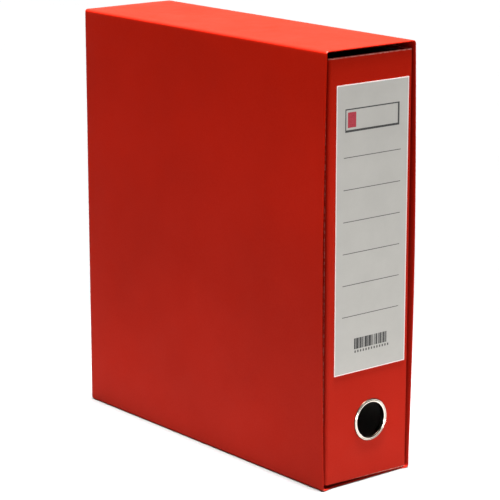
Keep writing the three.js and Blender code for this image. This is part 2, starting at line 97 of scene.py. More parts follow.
CASE_BOARD = 1 * MM  # thickness of the slipcase's card
CASE_RIM = 0.42 * MM  # rounding of the slipcase's cut edge
CASE_FOLD = 2.2 * MM  # outer radius of the slipcase's four long folds
FOLD_STEPS = 6
FOLD_STRIP = 1.5 * MM  # a narrow strip beside each fold, which keeps the rubbing on it
CASE_BULGE = 2.7 * MM  # how far the side walls belly out at the middle of the mouth
BULGE_POWER = 1.6  # how the belly grows from the back to the mouth
CASE_WAVE = 0.22 * MM  # slow unevenness of the slipcase's panels
FLOOR_SETBACK = 2.2 * MM  # the floor's lip lies this far behind the other three at the mouth
TURN_IN = 20 * MM  # red paper folded over the mouth's edge into the slipcase

CREASE_RADIUS = 2.4 * MM  # outside of the two bends between the spine and the covers
CREASE_STEPS = 8
SPINE_LIFT = 2.3 * MM  # the spine's lower edge is pushed up this much at its corner by the back cover
SPINE_CURL = 12 * MM  # height over which that fades out
LIFT_REACH = 0.07  # and the width over which it does

TOP_DUST_AND_SHEEN = 0.026  # share of dust and painted sheen on upward faces
LOW_DUST_AND_LIGHT = 0.023  # the same low down on upright faces, as painted light that makes them paler towards the bottom
DUST_AND_LIGHT_HEIGHT = 0.32  # the low dust and painted light fade out at this height

LABEL_HIGHLIGHT_BAND = 0.7 * MM  # band round the label's face painted as a pale highlight along its cut edge
LINE_COUNT = 6
LINE_DROP = 52.6 * MM  # from the label's top to its first writing line
LINE_SPACING = 23.56 * MM
LINE_LENGTH = 55.4 * MM
LINE_WIDTH = 0.55 * MM
TITLE_DROP = 25.9 * MM  # from the label's top to the middle of the title box
TITLE_SHIFT = 0.4 * MM  # the title box's middle lies this far left of the label's
BARS_RISE = 21.6 * MM  # from the label's bottom to the middle of the bar strip
BARS_SHIFT = 1.7 * MM  # the bar strip's middle lies this far right of the label's
BAR_WIDTHS = (0.6, 1.0, 1.6, 2.4)  # mm
BAR_GAPS = (0.3, 0.4, 0.5, 0.9)  # mm
BLOCK_COUNT = 13

RING_INSIDE = 13.3 * MM
RING_WALL = 0.6 * MM
RING_GROOVE = 0.28 * MM  # depth of the groove that runs round the rim
GROOVE_PLACE = 0.57  # as a share of the way from the rim's inner edge to its outer edge
GROOVE_SPREAD = 0.09
PAINTED_DARK_BANDS = ((-1, 0.05), (0.52, 0.62), (0.86, 2))  # the same shares; there the front is painted dark, as shade in the groove and dark reflections on the two rims
WASHER_INSIDE = 14.2 * MM
HOLE_RADIUS = 14.3 * MM

WIRE_RADIUS = 2 * MM
WIRE_SIDES = 20
POST_SIDES = 64
PIN_SIDES = 48
WASHER_SIDES = 96
RING_SIDES = 144
HOLE_SIDES = 72

SOFT_ANGLE = 32  # degrees; sharper edges of pressed parts are rounded
FLAT_ANGLE = 45  # degrees; sharper edges of boards shade as edges
TURNED_ANGLE = 50  # degrees; the same for turned pieces
TINY = 1e-6
MERGE_DISTANCE = 2e-6
CUTTER_MARGIN = 10 * MM


# ---- Node helpers ----


class Nodes:
    """A material's node tree, with short calls for the nodes that the finishes use."""

    def __init__(self, name):
        self.material = bpy.data.materials.new(name)
        self.material.use_nodes = True
        self.tree = self.material.node_tree
        self.shader = self.tree.nodes["Principled BSDF"]
        self.place = self.tree.nodes.new("ShaderNodeTexCoord").outputs["Object"]

    def add(self, kind, inputs, **settings):
        made = self.tree.nodes.new(kind)
        for key, value in settings.items():
            setattr(made, key, value)
        for key, value in inputs.items():
            self.feed(made.inputs[key], value)
        return made

    def feed(self, socket, value):
        if isinstance(value, bpy.types.NodeSocket):
            self.tree.links.new(value, socket)
        else:
            socket.default_value = value

    def stretched(self, scale):
        made = self.add("ShaderNodeMapping", {"Vector": self.place, "Scale": scale})
        return made.outputs["Vector"]

    def noise(self, scale, detail=3.0, rough=0.5, place=None):
        inputs = {"Vector": place or self.place, "Scale": scale, "Detail": detail, "Roughness": rough}
        return self.add("ShaderNodeTexNoise", inputs).outputs["Fac"]

    def ranged(self, value, low, high, to_low, to_high):
        inputs = {"Value": value, "From Min": low, "From Max": high, "To Min": to_low, "To Max": to_high}
        return self.add("ShaderNodeMapRange", inputs).outputs["Result"]

    def spread(self, value, to_low, to_high):
        """Maps the part of a noise's range where nearly all of its values lie."""
        return self.ranged(value, 0.3, 0.7, to_low, to_high)

    def math(self, operation, a, b):
        return self.add("ShaderNodeMath", {0: a, 1: b}, operation=operation).outputs["Value"]

    def blend(self, factor, a, b):
        made = self.tree.nodes.new("ShaderNodeMix")
        made.data_type = "RGBA"
        sockets = [s for s in made.inputs if s.type == "RGBA"]
        self.feed(made.inputs["Factor"], factor)
        self.feed(sockets[0], a)
        self.feed(sockets[1], b)
        return [s for s in made.outputs if s.type == "RGBA"][0]

    def attribute(self, name):
        return self.add("ShaderNodeAttribute", {}, attribute_name=name).outputs["Fac"]

    def bump(self, height, strength, distance, under=None):
        inputs = {"Height": height, "Strength": strength, "Distance": distance}
        if under:
            inputs["Normal"] = under
        return self.add("ShaderNodeBump", inputs).outputs["Normal"]

    def shade(self, **inputs):
        for key, value in inputs.items():
            self.feed(self.shader.inputs[key.replace("_", " ")], value)
        return self.material


def grey(value):
    return (value, value, value, 1.0)


def toned(colour, factor):
    """A colour made darker or lighter."""
    return tuple(factor * c for c in colour[:3]) + (1,)


# ---- Finishes ----


FIBRE_RED = (0.68, 0.045, 0.018, 1)
# pale pink film: dust, and also a painted sheen on upward faces and painted light low on upright ones
DUST_AND_LIGHT_COLOUR = (0.72, 0.45, 0.38, 1)


def red_paper(name, colour, rough, worn):
    """Red coated paper on board: fine tooth, slow unevenness, a film of dust with a painted sheen and
    painted light, and scuffs on its edges, which on the spine's top edge are also a painted highlight.
    """
    n = Nodes(name)
    cloud = n.ranged(n.noise(9, 4), 0.35, 0.65, 0.0, 1.0)
    coat = n.blend(cloud, toned(colour, 0.88), colour)
    fibre = n.spread(n.noise(900, 2), 0.0, 0.10)
    coat = n.blend(fibre, coat, FIBRE_RED)
    # the film of dust, painted sheen and painted light
    dust_and_light_film = n.math("MULTIPLY", n.attribute("dust_and_light"), n.spread(n.noise(35, 5, 0.6), 0.85, 1.15))
    coat = n.blend(dust_and_light_film, coat, DUST_AND_LIGHT_COLOUR)
    rubbed = n.ranged(n.noise(420, 5, 0.65), 0.40, 0.62, 0.35, 1.0)
    wear_and_highlight = n.math("MULTIPLY", n.attribute("wear_and_highlight"), rubbed)
    # scuffs, which on the spine's top edge are also a painted highlight
    n.feed(n.shader.inputs["Base Color"], n.blend(n.ranged(wear_and_highlight, 0.12, 0.9, 0.0, 0.85), coat, worn))
    n.feed(n.shader.inputs["Roughness"], n.spread(n.noise(60, 4), rough - 0.05, rough + 0.06))
    tooth = n.bump(n.noise(2600, 3, 0.6), 0.35, 0.03 * MM)
    normal = n.bump(n.noise(130, 2), 0.30, 0.10 * MM, tooth)
    return n.shade(Normal=normal, Specular_IOR_Level=0.015, Specular_Tint=(1.0, 0.30, 0.20, 1))


def plain_paper(name, colour, speck, rough=0.75, grain=1500):
    """Uncoated paper: a faint mottle, short fibres and a soft tooth."""
    n = Nodes(name)
    mottle = n.spread(n.noise(40, 5, 0.6), 0.0, 1.0)
    base = n.blend(mottle, toned(colour, 0.93), colour)
    specks = n.ranged(n.noise(grain, 2, 0.7), 0.62, 0.72, 0.0, 0.6)
    n.feed(n.shader.inputs["Base Color"], n.blend(specks, base, speck))
    n.feed(n.shader.inputs["Roughness"], n.spread(n.noise(300, 3), rough - 0.06, rough + 0.08))
    return n.shade(Normal=n.bump(n.noise(grain, 4, 0.6), 0.4, 0.04 * MM), Specular_IOR_Level=0.3)


def grey_board(name):
    """Bare grey board inside the slipcase: long pale and dark fibres, quite rough."""
    n = Nodes(name)
    fibres = n.noise(1.0, 5, 0.7, n.stretched((700, 160, 700)))
    dark, pale = (0.20, 0.18, 0.16, 1), (0.36, 0.34, 0.31, 1)
    n.feed(n.shader.inputs["Base Color"], n.blend(n.spread(fibres, 0.0, 1.0), dark, pale))
    n.feed(n.shader.inputs["Roughness"], n.spread(fibres, 0.8, 0.95))
    return n.shade(Normal=n.bump(fibres, 0.5, 0.08 * MM))


def ink(name, colour):
    """Printed ink: paler in fine specks where it lies thinner, with an uneven gloss and a fine tooth."""
    n = Nodes(name)
    lift = n.ranged(n.noise(1800, 3), 0.35, 0.7, 0.0, 0.35)
    thin = tuple(min(1, 2.2 * c + 0.05) for c in colour[:3]) + (1,)
    n.feed(n.shader.inputs["Base Color"], n.blend(lift, colour, thin))
    n.feed(n.shader.inputs["Roughness"], n.spread(n.noise(900, 2), 0.5, 0.7))
    return n.shade(Normal=n.bump(n.noise(1500, 3), 0.3, 0.03 * MM))


def metal(name, colour, rough, along, streak=0.05, pit=0.02 * MM):
    """Plated metal: streaks drawn along one direction, faint cloudiness and small dents."""
    n = Nodes(name)
    streaks = n.noise(1.0, 4, 0.6, n.stretched(along))
    cloud = n.noise(70, 3)
    tone = n.spread(cloud, 0.0, 1.0)
    n.feed(n.shader.inputs["Base Color"], n.blend(tone, toned(colour, 0.86), colour))
    n.feed(n.shader.inputs["Roughness"], n.spread(streaks, rough - streak / 2, rough + streak))
    normal = n.bump(streaks, 0.25, pit, n.bump(cloud, 0.15, 2 * pit))
    return n.shade(Normal=normal, Metallic=1.0)


def moulded_plastic(name, colour, rough):
    """Injection-moulded plastic with a fine spark-eroded texture."""
    n = Nodes(name)
    spark = n.noise(3200, 3, 0.6)
    tone = n.spread(n.noise(55, 3), 0.0, 1.0)
    n.feed(n.shader.inputs["Base Color"], n.blend(tone, colour, toned(colour, 1.35)))
    n.feed(n.shader.inputs["Roughness"], n.spread(spark, rough - 0.05, rough + 0.1))
    return n.shade(Normal=n.bump(spark, 0.4, 0.03 * MM))


CASE_SCUFF = (0.72, 0.33, 0.27, 1)
# the file's scuff colour is paler than the slipcase's, so that on the spine's top edge it is also a
# painted highlight
FILE_SCUFF_AND_HIGHLIGHT = (0.86, 0.42, 0.35, 1)
CASE_RED = red_paper("case_red_paper", (0.465, 0.0085, 0.0012, 1), 0.47, CASE_SCUFF)
FILE_RED = red_paper("file_red_paper", (0.470, 0.0110, 0.0030, 1), 0.45, FILE_SCUFF_AND_HIGHLIGHT)
BARE_BOARD = grey_board("bare_grey_board")
LINING = plain_paper("lining_paper", (0.33, 0.33, 0.32, 1), (0.16, 0.16, 0.15, 1), 0.7, 700)
LABEL_PAPER = plain_paper("label_paper", (0.53, 0.515, 0.48, 1), (0.46, 0.45, 0.42, 1), 0.7)
# near-white pink, far paler than the label's paper: a painted highlight on the cut edge and round the face
LABEL_EDGE_AND_HIGHLIGHT = plain_paper("label_cut_edge_and_highlight", (1.0, 0.86, 0.83, 1), (0.97, 0.82, 0.79, 1), 0.8)
DARK_INK = ink("dark_ink", (0.028, 0.027, 0.026, 1))
LINE_INK = ink("line_ink", (0.06, 0.056, 0.052, 1))
RED_INK = ink("red_ink", (0.36, 0.012, 0.03, 1))
CHROME = metal("chrome", (0.96, 0.87, 0.76, 1), 0.07, (900, 120, 900), 0.04, 0.006 * MM)
# dark chrome, which paints shade and dark reflections on the finger ring
PAINTED_DARK_CHROME = metal("chrome_painted_dark", (0.10, 0.07, 0.05, 1), 0.35, (900, 120, 900), 0.1, 0.006 * MM)
WIRE_CHROME = metal("wire_chrome", (0.80, 0.80, 0.81, 1), 0.14, (500, 500, 70), 0.08, 0.008 * MM)
NICKEL = metal("nickel_steel", (0.60, 0.585, 0.56, 1), 0.30, (260, 1400, 60), 0.12)
SPRING_STEEL = metal("spring_steel", (0.36, 0.37, 0.40, 1), 0.26, (900, 900, 60), 0.12)
BLACK_PLASTIC = moulded_plastic("black_plastic", (0.012, 0.012, 0.013, 1), 0.42)


# ---- Mesh helpers ----


def add_to_scene(made):
    bpy.context.scene.collection.objects.link(made)


def keep(name, body, slot, materials, nodes, mesh):
    """Links a mesh as a piece that rides on a body, takes the given finishes and stands for CAD nodes; its
    slot is not used.
    """
    made = bpy.data.objects.new(name, mesh)
    add_to_scene(made)
    for material in materials:
        mesh.materials.append(material)
    for polygon in mesh.polygons:
        polygon.use_smooth = True
    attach(made, body)
    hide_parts(*nodes)
    return made


def mesh_from(name, points, faces):
    mesh = bpy.data.meshes.new(name)
    mesh.from_pydata(points, [], faces)
    bm = bmesh.new()
    bm.from_mesh(mesh)
    bmesh.ops.recalc_face_normals(bm, faces=bm.faces)
    bm.to_mesh(mesh)
    bm.free()
    mesh.update()
    return mesh


def loft(name, rings, closed=False):
    """A skin over rings of equally many points; the ends are capped, or the last ring joins the first."""
    count = len(rings[0])
    points = [point for ring in rings for point in ring]
    faces = []
    for i in range(len(rings) if closed else len(rings) - 1):
        low, high = i * count, (i + 1) % len(rings) * count
        for j in range(count):
            k = (j + 1) % count
            faces.append((low + j, low + k, high + k, high + j))
    if not closed:
        faces.append(tuple(range(count)))
        faces.append(tuple(range((len(rings) - 1) * count, len(rings) * count)))
    return mesh_from(name, points, faces)


def arc(centre, radius, start, end, steps):
    """Points on an arc, with its angles in degrees."""
    angles = [math.radians(start + (end - start) * i / steps) for i in range(steps + 1)]
    return [(centre[0] + radius * math.cos(a), centre[1] + radius * math.sin(a)) for a in angles]


def rounded_corners(outline, radius, steps=3):
    """The closed outline with each corner turned into an arc, as far as its sides leave room."""
    made = []
    for i, corner in enumerate(outline):
        here = Vector(corner)
        before = Vector(outline[i - 1]) - here
        after = Vector(outline[(i + 1) % len(outline)]) - here
        turn = math.pi - before.angle(after)
        if turn < 0.05:
            made.append(tuple(corner))
            continue
        setback = min(radius * math.tan(turn / 2), 0.45 * before.length, 0.45 * after.length)
        start = here + before.normalized() * setback
        end = here + after.normalized() * setback
        for k in range(steps + 1):
            t = k / steps
            made.append(tuple((1 - t) ** 2 * start + 2 * t * (1 - t) * here + t * t * end))
    return made


def rounded_box_loop(low, high, radius, steps=6):
    """A rounded rectangle between two corners, counter-clockwise."""
    made = []
    middles = [(high[0], high[1], 0), (low[0], high[1], 90), (low[0], low[1], 180), (high[0], low[1], 270)]
    for x, y, start in middles:
        centre = (x + (radius if x == low[0] else -radius), y + (radius if y == low[1] else -radius))
        made += arc(centre, radius, start, start + 90, steps)
    return made


def in_frame(axis, a, b, along):
    """A point from two coordinates across an axis and one along it, in the cyclic order of the axes."""
    return {"x": (along, a, b), "y": (b, along, a), "z": (a, b, along)}[axis]


def across(axis, corner):
    """The two coordinates across an axis, in the order that in_frame takes."""
    return {"x": (corner[1], corner[2]), "y": (corner[2], corner[0]), "z": (corner[0], corner[1])}[axis]


def slab(name, loop, axis, low, high, rounding, aprons=(), bands=()):
    """A plate whose outline is loop(inset), with its two rims rounded over.

    The aprons are further rings on each flat end, that far in.
    The bands are further rings along the sides, that far from each end.
    """
    steps = 4
    turns = [math.pi / 2 * k / steps for k in range(steps + 1)]
    near = [(rounding * (1 - math.sin(turn)), rounding * (1 - math.cos(turn))) for turn in turns]
    near = [(apron, 0) for apron in aprons] + near + [(0, band) for band in bands]
    places = [(inset, low + along) for inset, along in near]
    places += [(inset, high - along) for inset, along in reversed(near)]
    return loft(name, [[in_frame(axis, a, b, along) for a, b in loop(inset)] for inset, along in places])


def turned(name, node, axis, profile, sides, closed=False):
    """A body of revolution on the middle of a node's box, from (radius, place along the axis) points."""
    low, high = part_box(node)
    middle = across(axis, (low + high) / 2)
    rings = []
    for radius, along in profile:
        circle = arc(middle, max(radius, TINY), 0, 360, sides)[:-1]
        rings.append([in_frame(axis, a, b, along) for a, b in circle])
    return loft(name, rings, closed)


def cut_holes(made, axis, holes):
    """Drills round holes (middle, radius) right through a piece."""
    low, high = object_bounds()
    i = "xyz".index(axis)
    ends = (low[i] - CUTTER_MARGIN, high[i] + CUTTER_MARGIN)
    for middle, radius in holes:
        circle = arc(middle, radius, 0, 360, HOLE_SIDES)[:-1]
        rings = [[in_frame(axis, a, b, end) for a, b in circle] for end in ends]
        cutter = bpy.data.objects.new("cutter", loft("cutter", rings))
        add_to_scene(cutter)
        change = made.modifiers.new("hole", "BOOLEAN")
        change.object = cutter
        change.solver = "EXACT"
        apply_modifiers(made)
        bpy.data.objects.remove(cutter)


def apply_modifiers(made):
    evaluated = made.evaluated_get(bpy.context.evaluated_depsgraph_get())
    mesh = bpy.data.meshes.new_from_object(evaluated)
    made.modifiers.clear()
    old = made.data
    made.data = mesh
    bpy.data.meshes.remove(old)


def soften(made, width):
    """Rounds a piece's sharp edges and keeps its flat faces flat."""
    bevel = made.modifiers.new("bevel", "BEVEL")
    bevel.width = width
    bevel.segments = 3
    bevel.limit_method = "ANGLE"
    bevel.angle_limit = math.radians(SOFT_ANGLE)
    bevel.harden_normals = True
    weigh_normals(made)


def flatten(made):
    """Keeps the flat faces' shading flat beside rounded rims, and the edges over an angle sharp."""
    made.data.set_sharp_from_angle(angle=math.radians(FLAT_ANGLE))
    weigh_normals(made)


def weigh_normals(made):
    weighted = made.modifiers.new("weighted", "WEIGHTED_NORMAL")
    weighted.keep_sharp = True
    apply_modifiers(made)


def paint_wear_and_light(made, worn):
    """Stores how rubbed and how dusty each point is, from 0 to 1, for the paper's finish; the rubbing also
    paints a highlight on the spine's top edge, and the dust paints a sheen on upward faces and light on
    lower parts.
    """
    mesh = made.data
    wear_and_highlight = mesh.attributes.new("wear_and_highlight", "FLOAT", "POINT")
    wear_and_highlight.data.foreach_set("value", [worn(v.co) for v in mesh.vertices])
    dust_and_light = mesh.attributes.new("dust_and_light", "FLOAT", "POINT")
    dust_and_light.data.foreach_set("value", [dust_and_light_at(v.co, v.normal) for v in mesh.vertices])


def dust_and_light_at(point, normal):
    """Dust and a painted sheen lie on upward faces, and a little dust with painted light, paler towards
    the bottom, lies low down on the upright ones.
    """
    low_down = max(0.0, 1 - point.z / DUST_AND_LIGHT_HEIGHT)
    upward = smoothstep(0.2, 0.7, normal.z)
    return TOP_DUST_AND_SHEEN * upward + LOW_DUST_AND_LIGHT * low_down * (1 - upward)


def refine(node, body, slot, material, width):
    """A CAD node's shape with its flat facets joined and its edges rounded."""
    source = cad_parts[node]
    bm = bmesh.new()
    bm.from_mesh(source.data)
    bmesh.ops.remove_doubles(bm, verts=bm.verts, dist=MERGE_DISTANCE)
    bmesh.ops.dissolve_limit(bm, angle_limit=math.radians(1), verts=bm.verts, edges=bm.edges)
    mesh = bpy.data.meshes.new(node + "_fine")
    bm.to_mesh(mesh)
    bm.free()
    soften(keep(node + "_fine", body, slot, [material], [node], mesh), width)


def smoothstep(low, high, value):
    t = min(1.0, max(0.0, (value - low) / (high - low)))
    return t * t * (3 - 2 * t)


# ---- Slipcase: a folded sleeve and a back panel ----

CASE_LOW, CASE_HIGH = cad_bounds
case_size = CASE_HIGH - CASE_LOW


def case_loop(inset):
    """The sleeve's section: points bunch near each fold, so that rubbing stays on it."""
    radius = max(CASE_FOLD - inset, 0.25 * MM)
    low = (CASE_LOW.x + inset, CASE_LOW.z + inset)
    high = (CASE_HIGH.x - inset, CASE_HIGH.z - inset)
    corners = rounded_box_loop(low, high, radius, FOLD_STEPS)
    fold_points = FOLD_STEPS + 1
    made = []
    for i in range(4):
        following = fold_points * (i + 1)
        made += corners[fold_points * i : following]
        start = Vector(corners[following - 1])
        end = Vector(corners[following % len(corners)])
        length = (end - start).length
        strip = FOLD_STRIP / length
        parts = 9 if length < case_size.z / 2 else 33
        shares = [strip] + [k / parts for k in range(1, parts)] + [1 - strip]
        made += [tuple(start.lerp(end, share)) for share in shares]
    return made


def case_belly(x, y, z):
    """The side walls belly out towards the mouth, most at mid-height; the walls and the top are a little
    uneven.
    """
    depth = (CASE_HIGH.y - y) / case_size.y
    rise = math.sin(math.pi * (z - CASE_LOW.z) / case_size.z)
    side = max(-1.0, min(1.0, x / (0.9 * CASE_HIGH.x)))
    on_wall = 1 if abs(side) > 0.9 else 0
    on_top = 1 if z > CASE_HIGH.z - 3 * CASE_BOARD else 0
    from_wall = CASE_HIGH.x - abs(x)
    grow = CASE_BULGE * depth**BULGE_POWER * rise * side
    ends = smoothstep(0, 20 * MM, z - CASE_LOW.z) * smoothstep(0, 20 * MM, CASE_HIGH.z - z)
    wave = noise.noise(Vector((x * 4 + 3, y * 9, z * 8)))
    shift_x = grow + CASE_WAVE * wave * ends * on_wall * side
    if z < CASE_LOW.z + 2 * CASE_BOARD:
        near = 1 - smoothstep(0, 30 * MM, y - CASE_LOW.y)
        y += FLOOR_SETBACK * near * smoothstep(2 * MM, 9 * MM, from_wall)
    wave = noise.noise(Vector((x * 12, y * 9 + 5, 7)))
    shift_z = CASE_WAVE * wave * smoothstep(0, 12 * MM, from_wall) * on_top
    return (x + shift_x, y, z + shift_z)


def sleeve_lip(end, way):
    """One cut edge of the sleeve as (y, inset), from outside in; way is 1 at the mouth, -1 behind."""
    rim, board = CASE_RIM, CASE_BOARD
    steps = 5
    made = [(end + way * (rim + a), rim + b) for a, b in arc((0, 0), rim, 270, 180, steps)]
    return made + [(end + way * (rim + a), board - rim + b) for a, b in arc((0, 0), rim, 180, 90, steps)]


def add_sleeve():
    mouth, back = CASE_LOW.y, CASE_HIGH.y
    places = [1.5 * MM, 3 * MM, 8 * MM, TURN_IN, 2 * TURN_IN]
    places = sorted(places + [case_size.y * k / 10 for k in range(2, 10)])
    outside = [(mouth + d, 0) for d in places[::-1]] + sleeve_lip(mouth, 1)
    inside = [(mouth + d, CASE_BOARD) for d in places]
    profile = outside + inside + sleeve_lip(back, -1)[::-1]
    rings = [[case_belly(x, y, z) for x, z in case_loop(inset)] for y, inset in profile]
    mesh = loft("slipcase_sleeve", rings, closed=True)
    walls = ["case_left_wall", "case_right_wall", "case_floor", "case_top_wall"]
    made = keep("slipcase_sleeve", "slipcase", "slipcase_paper", [CASE_RED, BARE_BOARD], walls, mesh)
    first_bare = len(outside) + places.index(TURN_IN)
    last_bare = len(outside) + len(inside) - 1
    around = len(rings[0])
    for polygon in mesh.polygons:
        if first_bare <= polygon.index // around < last_bare:
            polygon.material_index = 1
    paint_wear_and_light(made, case_wear)


def case_wear(point):
    """Rubbing on the four long folds, on the mouth's and back's edges, and most where they meet."""
    from_mouth = point.y - CASE_LOW.y
    from_back = CASE_HIGH.y - point.y
    rise = math.sin(math.pi * point.z / case_size.z)
    wall = CASE_HIGH.x + CASE_BULGE * rise * ((from_back / case_size.y) ** BULGE_POWER)
    from_side = wall - abs(point.x)
    from_end = min(point.z - CASE_LOW.z, CASE_HIGH.z - point.z)
    fold = 1 - smoothstep(0.2 * MM, 1.3 * MM, max(from_side, from_end))
    outside = 1 - smoothstep(0.1 * MM, 0.6 * MM, min(from_side, from_end))
    lip = (1 - smoothstep(0.1 * MM, 0.7 * MM, min(from_mouth, from_back))) * (0.35 + 0.65 * outside)
    corner = 1 - smoothstep(0.5 * MM, 3 * MM, max(from_side, from_end) + from_mouth)
    return min(1.0, 0.12 * fold + 0.06 * lip + 0.55 * corner)


def board_wear(low, high, strength):
    """Rubbing on a wrapped board's long edges, heavier at its corners."""

    def worn(point):
        gaps = sorted(min(point[i] - low[i], high[i] - point[i]) for i in range(3))
        edge = 1 - smoothstep(0.1 * MM, 0.9 * MM, gaps[1])
        corner = 1 - smoothstep(0.5 * MM, 4 * MM, gaps[2])
        return min(1.0, strength * (edge + corner))

    return worn


def board_piece(name, node, axis, body, slot, material, rounding, corner, strength=0.5, holes=()):
    """A wrapped board in the place of a flat CAD board."""
    low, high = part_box(node)
    i = "xyz".index(axis)

    def loop(inset):
        a, b = across(axis, low), across(axis, high)
        start, end = (a[0] + inset, a[1] + inset), (b[0] - inset, b[1] - inset)
        return rounded_box_loop(start, end, max(corner - inset, 0.1 * MM))

    mesh = slab(name, loop, axis, low[i], high[i], rounding, aprons=APRONS)
    made = keep(name, body, slot, [material], [node], mesh)
    cut_holes(made, axis, holes)
    flatten(made)
    paint_wear_and_light(made, board_wear(low, high, strength))


def add_back_panel():
    style = ("slipcase_paper", CASE_RED, RIM, PANEL_CORNER)
    board_piece("slipcase_back_panel", "case_back_wall", "y", "slipcase", *style)


# ---- Spine ----

board_low, board_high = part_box("spine_board")
crease_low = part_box("back_crease")[0]
crease_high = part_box("front_crease")[1]
ring_low, ring_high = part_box("finger_ring")
ring_middle = (ring_low + ring_high) / 2
SPINE_FRONT = board_low.y
FINGER_HOLE = ((ring_middle.z, ring_middle.x), HOLE_RADIUS)


def spine_section(inset):
    """The spine and its two creases as one bent board, seen from above, set in from its surface."""
    left, right = crease_low.x, crease_high.x
    end = crease_high.y - inset
    outer_radius = CREASE_RADIUS - inset
    inner_radius = CREASE_RADIUS - BOARD + inset
    depth = SPINE_FRONT + CREASE_RADIUS
    outer = [(left + inset, end)]
    outer += arc((left + CREASE_RADIUS, depth), outer_radius, 180, 270, CREASE_STEPS)
    outer += arc((right - CREASE_RADIUS, depth), outer_radius, 270, 360, CREASE_STEPS)
    outer.append((right - inset, end))
    inner = [(right - BOARD + inset, end)]
    inner += arc((right - CREASE_RADIUS, depth), inner_radius, 360, 270, CREASE_STEPS)
    inner += arc((left + CREASE_RADIUS, depth), inner_radius, 270, 180, CREASE_STEPS)
    inner.append((left + BOARD - inset, end))
    return outer + inner


def add_spine():
    bands = [1.2 * MM, 4 * MM, SPINE_CURL]
    mesh = slab("spine_cover", spine_section, "z", board_low.z, board_high.z, RIM, bands=bands)
    nodes = ["spine_board", "front_crease", "back_crease"]
    made = keep("spine_cover", "spine", "cover_paper", [FILE_RED], nodes, mesh)
    cut_holes(made, "y", [FINGER_HOLE])
    for vertex in made.data.vertices:
        low_down = 1 - smoothstep(0, SPINE_CURL, vertex.co.z - board_low.z)
        beside = 1 - smoothstep(0, LIFT_REACH, vertex.co.x - crease_low.x)
        vertex.co.z += SPINE_LIFT * low_down * beside
    flatten(made)
    paint_wear_and_light(made, spine_wear_and_highlight)


def spine_wear_and_highlight(point):
    """Rubbing on the spine's two ends, most at their corners, and a little along the creases; on the ends
    it is also a painted highlight along the top edge's rounding.
    """
    from_end = min(point.z - board_low.z, board_high.z - point.z)
    edge = 1 - smoothstep(0.5 * MM, 1.2 * MM, from_end)
    side = min(point.x - crease_low.x, crease_high.x - point.x)
    fold = 1 - smoothstep(0.3 * MM, 2.6 * MM, side)
    front = 1 - smoothstep(0.2 * MM, 1.5 * MM, point.y - SPINE_FRONT)
    return min(1.0, edge * (0.4 + 0.6 * front) + 0.9 * edge * fold + 0.06 * fold)


# ---- Label: a grid of printed cells ----

label_low, label_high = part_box("spine_label")


def label_marks():
    """The printed rectangles (low x, low z, high x, high z, ink) of a blank, ruled spine label."""
    middle, top = (label_low.x + label_high.x) / 2, label_high.z
    left = middle - LINE_LENGTH / 2
    marks = []
    for i in range(LINE_COUNT):
        z = top - LINE_DROP - i * LINE_SPACING
        marks.append((left, z - LINE_WIDTH / 2, left + LINE_LENGTH, z + LINE_WIDTH / 2, LINE_INK))
    marks += title_field(middle - TITLE_SHIFT, top - TITLE_DROP)
    marks += bar_strip(middle + BARS_SHIFT, label_low.z + BARS_RISE)
    return marks


def title_field(x, z):
    """An empty title box with a heavy frame and a red tab, where a name would go."""
    width, height, thin, thick = 52.4 * MM, 16.9 * MM, 0.9 * MM, 1.6 * MM
    left, right, low, high = x - width / 2, x + width / 2, z - height / 2, z + height / 2
    tab, tab_left, tab_low, tab_high = 8 * MM, left + 2.4 * MM, low + 3.2 * MM, high - 2.6 * MM
    return [
        (left, high - thin, right, high, DARK_INK),
        (left, low, left + thin, high, DARK_INK),
        (right - thick, low, right, high, DARK_INK),
        (left, low, right, low + thick, DARK_INK),
        (tab_left, tab_low, tab_left + tab, tab_high, RED_INK),
    ]


def bar_strip(x, z):
    """A strip of upright bars of made-up widths, with a row of small blocks below it."""
    width, height = 35 * MM, 8.2 * MM
    pick = random.Random(7)
    marks = []
    place = x - width / 2
    while place < x + width / 2 - max(BAR_WIDTHS) * MM:
        bar = pick.choice(BAR_WIDTHS) * MM
        marks.append((place, z - height / 2, place + bar, z + height / 2, DARK_INK))
        place += bar + pick.choice(BAR_GAPS) * MM
    block, high, low = 1.3 * MM, z - height / 2 - 1.0 * MM, z - height / 2 - 2.8 * MM
    for i in range(BLOCK_COUNT):
        left = x - width / 2 + (i + 0.2) * width / BLOCK_COUNT
        marks.append((left, low, left + block, high, LINE_INK))
    return marks


def cell_finish(x, z, marks):
    """What a point of the label's face shows: a mark, the painted highlight along the cut edge or plain
    paper.
    """
    found = None
    for left, low, right, high, mark in marks:
        if left < x < right and low < z < high:
            found = mark
    if found:
        return found
    rim = min(x - label_low.x, label_high.x - x, z - label_low.z, label_high.z - z) < LABEL_HIGHLIGHT_BAND
    return LABEL_EDGE_AND_HIGHLIGHT if rim else LABEL_PAPER


